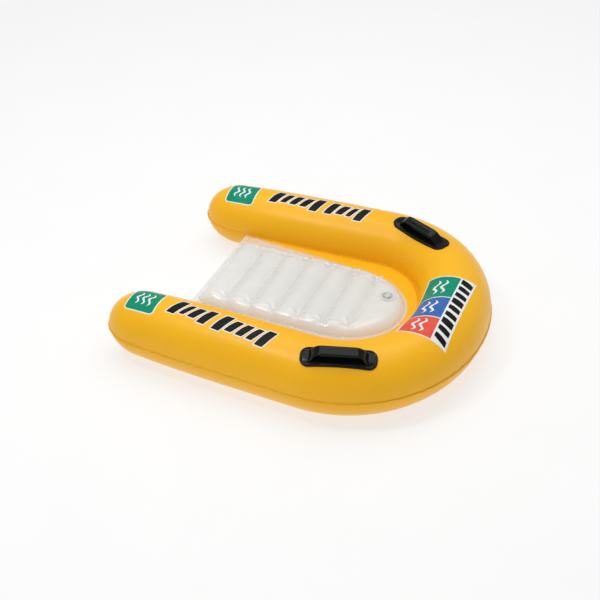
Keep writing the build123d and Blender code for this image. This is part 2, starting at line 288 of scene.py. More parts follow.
def vinyl(name, thick, thin, glossy, dull, own, grain=900.0, bump=0.00003, drift=5.0, weld=False):
    """A vinyl finish. `thick` and `thin` are the two colours that it drifts between, and `own` holds
    the shader's values that only this finish has."""
    material = bpy.data.materials.new(name)
    material.use_nodes = True
    tree = material.node_tree
    shader = tree.nodes["Principled BSDF"]
    place = tree.nodes.new("ShaderNodeTexCoord").outputs["Object"]
    colours = {"Scale": drift, "Thick Colour": (*thick, 1), "Thin Colour": (*thin, 1)}
    colour = use_group(tree, colour_drift, place, colours)
    tree.links.new(colour["Color"], shader.inputs["Base Color"])
    textures = {"Grain Scale": grain, "Glossy": glossy, "Dull": dull}
    surface = use_group(tree, film_surface, place, textures)
    tree.links.new(surface["Roughness"], shader.inputs["Roughness"])
    height = surface["Height"]
    if weld:
        pressed = use_group(tree, weld_emboss, place, {})
        mark = tree.nodes.new("ShaderNodeAttribute")
        mark.attribute_name = "weld"
        diamonds = add_math(tree, "MULTIPLY", pressed["Height"], mark.outputs["Fac"])
        height = add_math(tree, "ADD", height, add_math(tree, "MULTIPLY", diamonds, 2.0))
    relief = tree.nodes.new("ShaderNodeBump")
    relief.inputs["Distance"].default_value = bump
    tree.links.new(height, relief.inputs["Height"])
    tree.links.new(relief.outputs["Normal"], shader.inputs["Normal"])
    set_inputs(shader, own)
    return material


yellow_vinyl = vinyl(
    "yellow_vinyl_film", (0.94, 0.47, 0.005), (0.97, 0.50, 0.007), 0.34, 0.46,
    {"Specular IOR Level": 0.2, "Coat Weight": 0.2, "Coat Roughness": 0.3}, weld=True,
)
clear_vinyl = vinyl(
    "clear_vinyl_film", (0.90, 0.91, 0.89), (0.95, 0.95, 0.93), 0.07, 0.15,
    {"Alpha": 0.42, "Coat Weight": 0.6, "Coat Roughness": 0.05}, weld=True,
)
rib_vinyl = vinyl(
    "rib_vinyl_film", (0.86, 0.87, 0.84), (0.92, 0.92, 0.90), 0.2, 0.3, {"Alpha": 0.25}
)
black_vinyl = vinyl(
    "black_moulded_vinyl", (0.003, 0.004, 0.004), (0.005, 0.007, 0.006), 0.09, 0.16,
    {"Specular IOR Level": 0.17},
)
valve_vinyl = vinyl(
    "valve_moulded_vinyl", (0.78, 0.80, 0.79), (0.84, 0.85, 0.84), 0.15, 0.25, {"Alpha": 0.55}
)

# %% [markdown]
# ## The line that the tube follows
#
# The tube's middle line runs straight up one arm, round the bow in one smooth curve, and straight down
# the other arm. The curve is a Bezier on each side, so it leaves the arm in the arm's own direction.
# Everything on the tube is placed by two numbers: the distance along this line from the middle of the
# bow, positive on the right, and the angle round the tube, from 0 outwards to a quarter turn on top.

# %% The tube's middle line and radius
film = 0.0005
fin_width = 0.0025
seam_drop = 0.005
tube_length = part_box("tube_top_sheet")[1].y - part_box("tube_top_sheet")[0].y - 2 * fin_width
tube_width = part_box("tube_top_sheet")[1].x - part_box("tube_top_sheet")[0].x - 2 * fin_width
bow_radius = 0.0782
arm_radius = 0.0758
tip_radius = 0.0705
tip_length = 0.0887
shoulder_y = 0.075
bow_fullness = 0.58
tip_tuck = 0.014
axis_z = seam_z + seam_drop
bow_y = tube_length / 2 - bow_radius
tip_y = tip_length - tube_length / 2
shoulder_x = tube_width / 2 - arm_radius
tip_x = shoulder_x - tip_tuck


def middle_line():
    """Distances, positions and directions along the right half, from the bow's middle to the tip."""
    shoulder = np.array([shoulder_x, shoulder_y])
    tip = np.array([tip_x, tip_y])
    forward = (shoulder - tip) / np.linalg.norm(shoulder - tip)
    reach = bow_fullness * (bow_y - shoulder_y)
    corners = [[0, bow_y], [bow_fullness * shoulder_x, bow_y], shoulder + reach * forward, shoulder]
    t = np.linspace(0, 1, 400)[:, None]
    weights = [(1 - t) ** 3, 3 * t * (1 - t) ** 2, 3 * t**2 * (1 - t), t**3]
    curve = sum(w * np.array(c) for w, c in zip(weights, corners))
    arm = shoulder + (tip - shoulder) * np.linspace(0, 1, 200)[1:, None]
    line = np.concatenate([curve, arm])
    run = run_along(line)
    direction = np.gradient(line, run, axis=0)
    return run, line, direction / np.linalg.norm(direction, axis=1)[:, None]


line_run, line_points, line_directions = middle_line()
half_length = line_run[-1]
print("middle line, half length:", round(half_length, 4), "m")


def ring_at(distance):
    """Centre, outward direction, tipward direction and radius of the tube's ring at a distance.

    Past the end of an arm the rings shrink as an ellipse does, to a point at the tip.
    """
    side = np.where(distance < 0, -1.0, 1.0)
    reach = np.minimum(np.abs(distance), half_length)
    past = np.clip(np.abs(distance) - half_length, 0, tip_length)
    x, y = (np.interp(reach, line_run, line_points[:, i]) for i in (0, 1))
    run_x, run_y = (np.interp(reach, line_run, line_directions[:, i]) for i in (0, 1))
    flat = np.zeros_like(side)
    centre = np.stack([side * (x + run_x * past), y + run_y * past, flat + axis_z], -1)
    outward = np.stack([-side * run_y, run_x, flat], -1)
    tipward = np.stack([side * run_x, run_y, flat], -1)
    share = reach / half_length
    body = np.where(
        share < 0.5,
        arm_radius + (bow_radius - arm_radius) * np.cos(np.pi * share) ** 2,
        arm_radius - (arm_radius - tip_radius) * np.clip(2 * share - 1, 0, 1) ** 4,
    )
    radius = body * np.sqrt(np.clip(1 - (past / tip_length) ** 2, 0, 1))
    return centre, outward, tipward, radius


# %% [markdown]
# ## Puckers
#
# A flat sheet can't become a round tube without gathering somewhere. The gathers are strongest beside
# the inner seam of the bow, where the film has length to spare, and fade within a few centimetres. They
# are a sum of sine waves along the tube, times an envelope that is nothing at the seam itself.

# %% How much the film puckers
pucker_height = 0.0011
outer_pucker_share = 0.22
pucker_reach = 0.016


def ripple(distance, wavelength, wander=0.11):
    """A sine wave along the tube whose spacing wanders, so that it doesn't look machined."""
    phase = 2 * np.pi * distance / wavelength
    return np.sin(phase + 2.1 * np.sin(2 * np.pi * distance / wander + 0.7))


def pucker(distance, angle, radius):
    """How far the film stands out or in, from gathers beside the two seams."""
    seam_angle = np.arcsin(seam_drop / tip_radius)
    turn = 2 * np.pi
    beside_inner = radius * np.abs(angle - (np.pi + seam_angle))
    beside_outer = radius * np.minimum(np.abs(angle + seam_angle), np.abs(angle - turn + seam_angle))
    bend = 0.25 + 0.75 * np.exp(-((np.abs(distance) / 0.30) ** 4))
    envelope_in = beside_inner / pucker_reach * np.exp(1 - beside_inner / pucker_reach)
    envelope_out = beside_outer / pucker_reach * np.exp(1 - beside_outer / pucker_reach)
    inner = bend * envelope_in * (0.6 * ripple(distance, 0.031) + 0.4 * ripple(distance, 0.019, 0.17))
    outer = outer_pucker_share * envelope_out * ripple(distance, 0.023, 0.13)
    return pucker_height * (inner + outer)


def on_tube(distance, angle, lift=0.0):
    """Points on the tube: the ring's centre, plus its radius turned to the angle. `lift` is how far
    outside the film the point is. The underside is pressed flat where the float rests."""
    distance, angle = np.broadcast_arrays(distance, angle)
    centre, outward, tipward, radius = ring_at(distance)
    reach = (radius + lift + pucker(distance, angle, radius) * np.clip(radius / tip_radius, 0, 1))
    point = centre + outward * (reach * np.cos(angle))[..., None]
    point[..., 2] += reach * np.sin(angle)
    point[..., 2] = np.maximum(point[..., 2], 0.0)
    return point


# %% [markdown]
# ## The tube's two sheets
#
# Top and bottom are one welded pair. Each sheet runs from the edge of the outer fin, up or down round
# the tube, to the edge of the inner fin. In code that is one grid: its rows are rings along the tube
# and its columns go round. The fins are two more columns on each side, pushed out square to the seam's
# own outline, so that they close round the tips. The fins wave a little, as a welded edge does.

# %% Tube skins
rows_along = 420
rows_in_tip = 30
columns_round = 60
valve_hole_radius = 0.0125
fin_wave = 0.0007
inner_fin_wave_share = 0.4
body_rows = np.linspace(-half_length, half_length, rows_along)
tip_rows = half_length + tip_length * np.sin(np.linspace(0, np.pi / 2, rows_in_tip + 1)[1:])
tube_rows = np.concatenate([-tip_rows[::-1], body_rows, tip_rows])


def fin_columns(distance, outer, upper):
    """Points of the fin beside one seam, from its root to its edge, as (rows, 3 columns, 3)."""
    centre, outward, tipward, radius = ring_at(distance)
    past = np.clip(np.abs(distance) - half_length, 0, tip_length)
    drop = seam_drop * radius / tip_radius
    drop = np.where(past > 0, drop, seam_drop)
    root = np.sqrt(np.clip(radius**2 - drop**2, 0, None))
    along = past / tip_length**2
    across = radius / tip_radius**2
    size = np.hypot(along, across)
    sign = 1.0 if outer else -1.0
    push = tipward * (along / size)[:, None] + outward * (sign * across / size)[:, None]
    wave = fin_wave * ripple(distance, 0.024, 0.15) * (1.0 if outer else inner_fin_wave_share)
    level = centre[:, 2] - drop + (film if upper else -film) * np.clip(radius / tip_radius, 0.2, 1)
    columns = []
    for share in (0.0, 0.5, 1.0):
        point = centre + outward * (sign * root)[:, None] + push * fin_width * share
        point[:, 2] = level + wave * share
        columns.append(point)
    return np.stack(columns, 1)


def tube_skin(upper):
    """Rows of rings: outer fin, the tube's upper or lower half, inner fin."""
    distance = tube_rows[:, None]
    radius = ring_at(tube_rows)[3][:, None]
    drop = np.where(np.abs(distance) > half_length, seam_drop * radius / tip_radius, seam_drop)
    edge = (drop - (film if upper else -film)) / np.maximum(radius, 1e-6)
    low = -np.arcsin(np.clip(edge, -0.2, 0.2))
    share = np.linspace(0, 1, columns_round)[None, :]
    if upper:
        angle = low + (np.pi - 2 * low) * share
    else:
        angle = low - (np.pi + 2 * low) * share
    middle = on_tube(distance, np.where(upper, angle, np.mod(angle, 2 * np.pi)))
    outer = fin_columns(tube_rows, True, upper)[:, ::-1]
    inner = fin_columns(tube_rows, False, upper)
    points = np.concatenate([outer, middle[:, 1:-1], inner], 1)
    weld = np.ones(points.shape[:2])
    weld[:, 3:-3] = 0.0
    return points, weld


def open_round_hole(points, faces, centre, axis, radius):
    """Cuts a round hole: faces inside the circle go, and corners left inside move out onto it."""
    flat = points.reshape(-1, 3)
    away = flat - centre
    depth = away @ axis
    across = away - depth[:, None] * axis
    distance = np.linalg.norm(across, axis=1)
    inside = (distance < radius) & (np.abs(depth) < 2 * radius)
    faces = faces[~inside[faces].all(1)]
    flat[inside] += across[inside] * (radius / np.maximum(distance[inside], 1e-6) - 1)[:, None]
    return flat, faces


def valve_frame(name):
    """Seat point and outward axis of a valve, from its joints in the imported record."""
    pull = next(j for j in frame["joints"] if j["name"] == f"{name}_pull")
    axis = np.array(pull["axis"], float)
    low, high = (np.array(corner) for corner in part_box(f"{name}_stem"))
    return (low + high) / 2, axis / np.linalg.norm(axis)


tube_valve_middle, tube_valve_axis = valve_frame("tube_valve")
deck_valve_middle, deck_valve_axis = valve_frame("deck_valve")

tube_films = []
for upper, name in ((True, "tube_top_film"), (False, "tube_bottom_film")):
    points, weld = tube_skin(upper)
    faces = grid_faces(*points.shape[:2], flip=upper)
    if upper:
        points, faces = open_round_hole(
            points, faces, tube_valve_middle, tube_valve_axis, valve_hole_radius
        )
    marks = {"weld": weld.reshape(points.shape[:-1])}
    tube_films.append(make_piece(name, points, faces, "float", yellow_vinyl, marks))
    thicken(tube_films[-1], film)

# %% [markdown]
# ## The web between the tube and the deck
#
# Inside the U the two yellow sheets run on, welded flat together, and the clear deck is welded to them.
# The web is a strip between two outlines: the edge of the tube's inner fin, and the outline of the
# deck's air chamber. A row of the grid joins the two at each place along the tube.

# %% Deck sizes and the web
deck_low, deck_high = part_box("deck_top_sheet")
first_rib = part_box("deck_rib_1")
rib_count = sum(name.startswith("deck_rib_") for name in frame["nodes"])
rib_boxes = [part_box(f"deck_rib_{i + 1}") for i in range(rib_count)]
rib_lines = np.array([(low.y + high.y) / 2 for low, high in rib_boxes])
rib_halves = np.array([high.x for low, high in rib_boxes])
rear_hem = 0.009
hem_front = 0.006
hem_side = 0.012
nose_length = 0.143
chamber_corner = 0.026
chamber_round = 0.022
web_gap = 0.001
web_wave = 0.0002
hem_wave = 0.0001
hem_level = 2 * film + 0.0004
chamber_half = rib_halves[0] + 0.022
chamber_rear = deck_low.y + rear_hem
chamber_front = deck_high.y - hem_front
nose_y = chamber_front - nose_length
dome_rise = deck_high.z - seam_z
valley_rise = first_rib[1].z - seam_z + film


def web_strip(upper):
    """Rows from the inner fin's edge to just outside the chamber, round the U from tip to tip."""
    distance = body_rows[:, None]
    centre, outward, tipward, radius = ring_at(body_rows)
    root = np.sqrt(radius**2 - seam_drop**2) + fin_width * 0.9
    fin_edge = (centre - outward * root[:, None])[:, :2]
    keep = fin_edge[:, 1] > deck_low.y
    fin_edge = fin_edge[keep]
    half = chamber_half + web_gap
    away = fin_edge - np.array([0, nose_y])
    stretch = np.hypot(away[:, 0] / half, away[:, 1] / (nose_length + web_gap))
    round_nose = np.array([0, nose_y]) + away / stretch[:, None]
    beside = np.stack([np.sign(fin_edge[:, 0]) * half, fin_edge[:, 1]], -1)
    inner_edge = np.where(away[:, 1:] > 0, round_nose, beside)
    share = np.linspace(0, 1, 10)[None, :, None]
    plan = fin_edge[:, None] * (1 - share) + inner_edge[:, None] * share
    billow = np.sin(np.pi * share[..., 0])
    run = np.broadcast_to(body_rows[keep][:, None], plan.shape[:2])
    wave = web_wave * billow * ripple(run, 0.041, 0.19)
    level = seam_z + (film if upper else -film) + wave
    return np.concatenate([plan, level[..., None]], -1)


for upper, name in ((True, "web_top_film"), (False, "web_bottom_film")):
    web_points = web_strip(upper)
    web_faces = grid_faces(*web_points.shape[:2], flip=not upper)
    web = make_piece(
        name, web_points, web_faces, "float", yellow_vinyl, {"weld": 0.35}
    )
    thicken(web, film)
    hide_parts("tube_top_sheet" if upper else "tube_bottom_sheet")
    print(name, web_points.shape[:2], "points")

# %% [markdown]
# ## The clear deck
#
# The deck is a flat air mattress: two clear sheets, held together by upright ribs, so that the air
# pushes a row of rounded bulges between them. At the ribs' ends nothing holds the sheets, and the
# bulges run together in one channel along each side. The height of the film is worked out from the
# plan: an arch between neighbouring ribs, times a quarter-round near the outline, plus small folds that
# spread from the ribs' ends, where the film has to turn two ways at once.

# %% The height of the deck's film
bulge_lines = np.concatenate([[chamber_rear], rib_lines, [chamber_front]])
channel_share = 0.72  # the part of the dip that is gone past a rib's end
shirring_height = 0.0004
fold_height = 0.0013
softness = 0.0005
valve_flat_radius = 0.019


def chamber_half_at(y):
    """Half the chamber's width at y: rounded rear corners, straight sides and an elliptical nose."""
    into_nose = np.clip((y - nose_y) / nose_length, 0, 1)
    into_corner = np.clip(chamber_rear + chamber_corner - y, 0, chamber_corner)
    rear = chamber_corner - np.sqrt(np.clip(chamber_corner**2 - into_corner**2, 0, None))
    return chamber_half * np.sqrt(np.clip(1 - into_nose**2, 0, 1)) - rear


def distance_inside(x, y):
    """How far a point of the plan lies inside the chamber's outline, nearly."""
    beside = np.minimum(chamber_half - np.abs(x), y - chamber_rear)
    corner_x = np.abs(x) - (chamber_half - chamber_corner)
    corner_y = chamber_rear + chamber_corner - y
    in_corner = (corner_x > 0) & (corner_y > 0)
    beside = np.where(in_corner, chamber_corner - np.hypot(corner_x, corner_y), beside)
    nose = np.maximum(np.hypot(x / chamber_half, (y - nose_y) / nose_length), 1e-3)
    in_nose = np.hypot(x, y - nose_y) * (1 / nose - 1)
    return np.maximum(np.where(y > nose_y, in_nose, beside), 0)


def smooth_step(value, low, high):
    """0 below low, 1 above high, and a soft S between them."""
    t = np.clip((value - low) / (high - low), 0, 1)
    return t * t * (3 - 2 * t)


def deck_film_height(x, y):
    """Height of the deck's film over the seam."""
    inside = distance_inside(x, y)
    bulge = np.clip(np.searchsorted(bulge_lines, y, side="right") - 1, 0, rib_count)
    rear, front = bulge_lines[bulge], bulge_lines[bulge + 1]
    t = np.clip((y - rear) / (front - rear), 0, 1)
    nearest = np.where(t < 0.5, bulge - 1, bulge)
    at_a_rib = (nearest >= 0) & (nearest < rib_count)
    rib = np.clip(nearest, 0, rib_count - 1)
    past_end = np.abs(x) - rib_halves[rib]
    held = np.where(at_a_rib, 1 - channel_share * smooth_step(past_end, -0.004, 0.016), 1.0)
    height = dome_rise - (dome_rise - valley_rise) * held * (2 * t - 1) ** 2
    rise = np.sqrt(np.clip(1 - (1 - np.clip(inside / chamber_round, 0, 1)) ** 2, 0, 1))
    beside_rib = np.abs(y - rib_lines[rib])
    on_film = np.clip(inside / 0.02, 0, 1)
    shirring = np.exp(-beside_rib / 0.007) * (past_end < 0) * ripple(x + 0.37 * rib, 0.0125, 0.06)
    turn = np.arctan2(y - rib_lines[rib], np.sign(x) * x - rib_halves[rib])
    spread = np.hypot(beside_rib, past_end)
    folds = np.exp(-((spread - 0.012) / 0.011) ** 2) * np.cos(5 * turn + 1.3 * rib)
    soft = softness * ripple(x + 1.7 * y, 0.083, 0.31) * ripple(y - 0.6 * x, 0.067, 0.27)
    away = np.hypot(x - deck_valve_middle[0], y - deck_valve_middle[1])
    clear = smooth_step(away, valve_flat_radius, valve_flat_radius + 0.015)
    relief = at_a_rib * (shirring_height * shirring + fold_height * folds) + soft
    return height * rise + relief * on_film * clear


def deck_dome(upper):
    """Rows across the deck at each y, closer together near the ribs and near both ends."""
    rows = []
    for i, (rear, front) in enumerate(zip(bulge_lines, bulge_lines[1:])):
        share = np.linspace(0, 1, 25 if i < rib_count else 45)[:-1]
        eased = 0.5 - 0.5 * np.cos(np.pi * share)
        rows.append(rear + (front - rear) * eased)
    y = np.concatenate([*rows, [chamber_front]])[:, None]
    across = np.sin(np.pi / 2 * np.linspace(-1, 1, 151))[None, :]
    x = chamber_half_at(y) * across
    y = np.broadcast_to(y, x.shape)
    height = np.maximum(deck_film_height(x, y), hem_level)
    return np.stack([x, y, seam_z + (height if upper else -height)], -1)


def hem_strip(upper):
    """The flat rim of clear film outside the chamber, round its sides and nose, and along its rear."""
    side_y = np.concatenate([
        np.linspace(deck_low.y, chamber_rear, 5)[:-1],
        chamber_rear + chamber_corner * (1 - np.cos(np.linspace(0, np.pi / 2, 14)[:-1])),
        np.linspace(chamber_rear + chamber_corner, nose_y, 70),
    ])
    turn = np.linspace(np.pi, 0, 120)[1:-1]
    along = np.clip((side_y - deck_low.y) / (nose_y - deck_low.y), 0, 1)
    hem_outer = deck_high.x + (chamber_half + hem_side - deck_high.x) * along
    inner_x = chamber_half_at(np.maximum(side_y, chamber_rear))

    def round_the_nose(side_x, half, length):
        """An outline up the left side, round the nose and down the right side."""
        left, right = (np.stack([sign * side_x, side_y], -1) for sign in (-1, 1))
        nose = np.stack([half * np.cos(turn), nose_y + length * np.sin(turn)], -1)
        return np.concatenate([left, nose, right[::-1]])

    inner = round_the_nose(inner_x, chamber_half, nose_length)
    outer = round_the_nose(hem_outer, chamber_half + hem_side, nose_length + hem_front)
    share = np.linspace(0, 1, 8)[None, :, None]
    ring = inner[:, None] * (1 - share) + outer[:, None] * share
    rear_half = chamber_half_at(np.array([chamber_rear]))[0]
    rear_x, rear_y = np.meshgrid(
        np.linspace(-rear_half, rear_half, 60), np.linspace(deck_low.y, chamber_rear, 5), indexing="ij"
    )
    grids = []
    for plan in (ring, np.stack([rear_x, rear_y], -1)):
        wave = hem_wave * ripple(plan[..., 1] + plan[..., 0], 0.037, 0.21)
        level = seam_z + (hem_level if upper else -hem_level) + wave
        grids.append(np.concatenate([plan, level[..., None]], -1))
    return grids


for upper, name in ((True, "deck_top_film"), (False, "deck_bottom_film")):
    dome = deck_dome(upper)
    dome_faces = grid_faces(*dome.shape[:2], flip=upper)
    if upper:
        dome, dome_faces = open_round_hole(
            dome, dome_faces, deck_valve_middle, deck_valve_axis, valve_hole_radius
        )
    ring, rear = hem_strip(upper)
    dome_count = dome.reshape(-1, 3).shape[0]
    hem_count = ring.size // 3 + rear.size // 3
    weld = np.concatenate([np.zeros(dome_count), np.ones(hem_count)])
    points, faces = join_grids([
        (dome, dome_faces),
        (ring, grid_faces(*ring.shape[:2], flip=not upper)),
        (rear, grid_faces(*rear.shape[:2], flip=not upper)),
    ])
    deck = make_piece(name, points, faces, "float", clear_vinyl, {"weld": weld})
    thicken(deck, film * 0.6)
    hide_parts("deck_top_sheet" if upper else "deck_bottom_sheet")
    print(name, len(faces), "faces")

# %% [markdown]
# ## Ribs and the tabs beside them
#
# Each rib is a strip of clear film on edge, which stops short of the chamber's sides so that the air can
# pass. Small milky tabs stand on the hem in line with each rib. The ribs themselves come straight from
# the CAD, with a clear finish. The tabs are thin rounded patches, two for each rib, made by one loop.

# %% Ribs and tabs
for i in range(rib_count):
    frame["nodes"][f"deck_rib_{i + 1}"].data.materials[0] = rib_vinyl


def rounded_outline(half_length, half_width, corner, count):
    """`count` evenly spaced points round a rectangle with round corners, centred on (0, 0)."""
    quarter = np.linspace(0, np.pi / 2, 16)
    turn = (quarter[None, :] + np.pi / 2 * np.arange(4)[:, None]).ravel()
    centre_x = (half_length - corner) * np.repeat([1, -1, -1, 1], 16)
    centre_y = (half_width - corner) * np.repeat([1, 1, -1, -1], 16)
    loop = np.stack([centre_x + corner * np.cos(turn), centre_y + corner * np.sin(turn)], -1)
    return even_points(np.concatenate([loop, loop[:1]]), count, endpoint=False)


def patch_plan(outline, rings=6):
    """A filled flat patch: the outline shrunk ring by ring to its middle, as (rings, around, 2)."""
    share = np.linspace(1, 0, rings)[:, None, None]
    middle = outline.mean(0)
    return middle + (outline - middle)[None] * share


milky_vinyl = vinyl(
    "milky_welded_vinyl", (0.80, 0.80, 0.74), (0.88, 0.88, 0.84), 0.15, 0.3, {"Alpha": 0.65}
)
tab_half_length, tab_half_width = 0.0075, 0.004
tab_grids = []
for rib_y, rib_half in zip(rib_lines, rib_halves):
    for side in (-1, 1):
        tab = patch_plan(rounded_outline(tab_half_length, tab_half_width, 0.0015, 32))
        tab_x = side * (rib_half + chamber_round + tab_half_length + 0.001)
        place = np.array([tab_x, rib_y, seam_z + hem_level + 0.5 * film])
        points = np.concatenate([tab, np.zeros((*tab.shape[:2], 1))], -1) + place
        tab_grids.append((points, grid_faces(*points.shape[:2], wrap=True, flip=True)))
tab_points, tab_faces = join_grids(tab_grids)
tabs = make_piece("rib_end_tabs", tab_points, tab_faces, "float", milky_vinyl)
thicken(tabs, 0.0002, offset=1.0)
print("rib tabs:", len(tab_grids))

# %% [markdown]
# ## Seats for the handles and valves
#
# A moulded part that is welded on the tube hugs its curve. So each is drawn flat, in the plane that
# touches the tube at its middle, and every point is then dropped on the tube along the plane's normal.
# The drop is found by stepping: measure how far the point is outside the tube, go down that much, and
# repeat. A few steps are enough.

# %% Dropping a flat shape on the tube
def seat_on_tube(distance, lean):
    """Origin and three directions of the touching plane: along the tube, across it, and outwards.
    `lean` is the angle from the top of the tube, positive away from the float's middle."""
    centre, outward, tipward, radius = ring_at(np.array([distance]))
    normal = outward[0] * np.sin(lean) + np.array([0, 0, np.cos(lean)])
    along = tipward[0] * np.sign(distance)
    return centre[0] + normal * radius[0], along, np.cross(normal, along), normal


def drop_on_tube(flat, seat, lift):
    """Points (..., 2) of the seat's plane, moved along its normal until they are `lift` outside."""
    origin, along, across, normal = seat
    near = np.argmin(np.abs(seat_rings[0][:, 0] - origin[0]) + np.abs(seat_rings[0][:, 1] - origin[1]))
    window = slice(max(near - 200, 0), near + 200)
    centres, radii = seat_rings[0][window], seat_rings[1][window]
    point = origin + flat[..., :1] * along + flat[..., 1:] * across
    lift = np.broadcast_to(lift, flat.shape[:-1])
    for _ in range(12):
        gaps = np.linalg.norm(point[..., None, :] - centres, axis=-1)
        nearest = gaps.argmin(-1)
        over = np.take_along_axis(gaps, nearest[..., None], -1)[..., 0] - radii[nearest] - lift
        point = point - normal * over[..., None]
    return point


ring_distances = np.linspace(-half_length, half_length, 1500)
ring_centres, _, _, ring_radii = ring_at(ring_distances)
seat_rings = (ring_centres, ring_radii)

# %% [markdown]
# ## The grab handles
#
# Each handle is one soft moulding: a pad welded on the tube, with a raised and knurled rim, and a grip
# that arches over it. The pad is rings of one rounded outline, from its edge inwards, lifted by a
# profile across the rim. The grip is a strap's section carried along an arch. Its top is a little
# hollow and its edges stand up, which is what catches the light, and it widens where it meets the pad.

# %% Handle pads
handle_places = {"right": (0.309, np.radians(19.0)), "left": (-0.279, np.radians(-14.0))}
pad_length, pad_width, pad_corner = 0.154, 0.043, 0.018
pad_floor = 0.0026
knurl_pitch = 0.0036
knurl_height = 0.00028
grip_half_width, grip_width_flare = 0.0110, 0.0035
grip_half_thick, grip_thick_flare = 0.0034, 0.0010
grip_hollow = 0.0012
rim_offsets = np.array([0.0, 0.0, 0.0004, 0.001, 0.0018, 0.0026, 0.0034, 0.0042, 0.005, 0.0058])
rim_heights = np.array([0.0, 0.0018, 0.003, 0.0037, 0.0038, 0.0038, 0.0036, 0.003, 0.0026, 0.0026])


def handle_pad(seat):
    """The pad as rings: the outline drawn in by each rim offset, then shrunk to its middle line."""
    count = 360
    rings = [
        rounded_outline(pad_length / 2 - inset, pad_width / 2 - inset, pad_corner - inset, count)
        for inset in rim_offsets
    ]
    last = rings[-1]
    for share in (0.8, 0.6, 0.4, 0.2, 0.0):
        rings.append(last * np.array([0.55 + 0.45 * share, share]))
    plan = np.stack(rings)
    height = np.concatenate([rim_heights, np.full(5, pad_floor)])[:, None]
    teeth = int(round(2 * (pad_length + pad_width - 1.7 * pad_corner) / knurl_pitch))
    turn = 2 * np.pi * teeth * np.arange(count)[None, :] / count
    on_rim = np.exp(-(((np.concatenate([rim_offsets, np.full(5, 0.02)]) - 0.0016) / 0.0012) ** 2))
    height = height + knurl_height * on_rim[:, None] * np.cos(turn)
    return drop_on_tube(plan, seat, height)


def arch_path(count):
    """Points of the grip's arch in its own plane, (along, up): feet, shoulders and a flat top."""
    foot, top, rise, depth, bend = 0.059, 0.046, 0.022, -0.008, 0.015
    corners = np.array([[-foot, depth], [-top, rise], [top, rise], [foot, depth]])
    pieces = [corners[:1]]
    for before, corner, after in zip(corners, corners[1:], corners[2:]):
        start = corner + (before - corner) / np.linalg.norm(before - corner) * bend
        end = corner + (after - corner) / np.linalg.norm(after - corner) * bend
        t = np.linspace(0, 1, 24)[:, None]
        pieces.append((1 - t) ** 2 * start + 2 * t * (1 - t) * corner + t**2 * end)
    pieces.append(corners[-1:])
    return even_points(np.concatenate(pieces), count)


def handle_grip(seat):
    """The strap's section carried along the arch. Width and thickness grow towards the two feet."""
    origin, along, across, normal = seat
    path = arch_path(120)
    forward = np.gradient(path, axis=0)
    forward /= np.linalg.norm(forward, axis=1)[:, None]
    up = np.stack([-forward[:, 1], forward[:, 0]], -1)
    to_foot = np.abs(np.linspace(-1, 1, len(path)))
    flare = smooth_step(to_foot, 0.62, 1.0)
    half_width = grip_half_width + grip_width_flare * flare
    half_thick = grip_half_thick + grip_thick_flare * flare
    turn = np.linspace(0, 2 * np.pi, 56, endpoint=False)
    cos, sin = np.cos(turn), np.sin(turn)
    wide = np.sign(cos) * np.abs(cos) ** 0.55
    thick = np.sign(sin) * np.abs(sin) ** 0.7
    hollow = grip_hollow * np.clip(sin, 0, 1) * (1 - wide**2)
    side = half_width[:, None] * wide
    rise = half_thick[:, None] * thick - hollow
    plan = path[:, None] + up[:, None] * rise[..., None]
    points = origin + plan[..., :1] * along + plan[..., 1:] * normal + side[..., None] * across
    ends = points[[0, -1]].mean(1, keepdims=True) * np.ones((1, points.shape[1], 1))
    return np.concatenate([ends[:1], points, ends[1:]])


for side, (distance, lean) in handle_places.items():
    seat = seat_on_tube(distance, lean)
    pad_points = handle_pad(seat)
    pad = make_piece(
        f"{side}_handle_pad", pad_points, grid_faces(*pad_points.shape[:2], wrap=True),
        "float", black_vinyl,
    )
    grip_points = handle_grip(seat)
    make_piece(
        f"{side}_handle_grip", grip_points, grid_faces(*grip_points.shape[:2], wrap=True),
        "float", black_vinyl, outward=True,
    )
    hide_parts(f"{side}_handle")
    print(side, "handle: seat at", [round(v, 3) for v in seat[0]])

# %% [markdown]
# ## Prints on the film
#
# The float carries bold printed marks on its tube: a green badge near each tip, a row of slanted strokes
# along each arm, and a panel with three coloured fields on the bow. They are plain motifs with no
# lettering. Screen ink is a thin coat, so each colour is its own thin patch. The arms' marks are laid
# on the tube by distance and angle. A white coat goes first, a little larger, and shows as a border.

# %% Laying ink on the tube
def ink_material(name, colour, faded):
    """Screen ink: matt beside the film, and a little uneven where the coat is thin."""
    own = {"Specular IOR Level": 0.12}
    return vinyl(name, colour, faded, 0.32, 0.45, own, grain=2400.0, bump=0.00001, drift=60.0)


white_ink = ink_material("white_ink", (0.80, 0.81, 0.80), (0.86, 0.87, 0.86))
black_ink = ink_material("black_ink", (0.004, 0.005, 0.005), (0.008, 0.009, 0.009))
green_ink = ink_material("green_ink", (0.0, 0.25, 0.145), (0.005, 0.29, 0.17))
blue_ink = ink_material("blue_ink", (0.035, 0.13, 0.42), (0.05, 0.16, 0.47))
red_ink = ink_material("red_ink", (0.72, 0.085, 0.050), (0.80, 0.11, 0.07))
coat = 0.00010


def ink_coat(name, grids, middle, material):
    """One piece from a coat's patches, turned over if it faces the tube's middle line. `middle` is
    the distance along the tube where the first patch is, roughly."""
    points, faces = join_grids(grids)
    piece = make_piece(name, points, faces, "float", material, merge=1e-6)
    first = piece.data.polygons[0]
    if first.normal.dot(first.center - Vector(ring_at(np.array([middle]))[0][0])) < 0:
        piece.data.flip_normals()


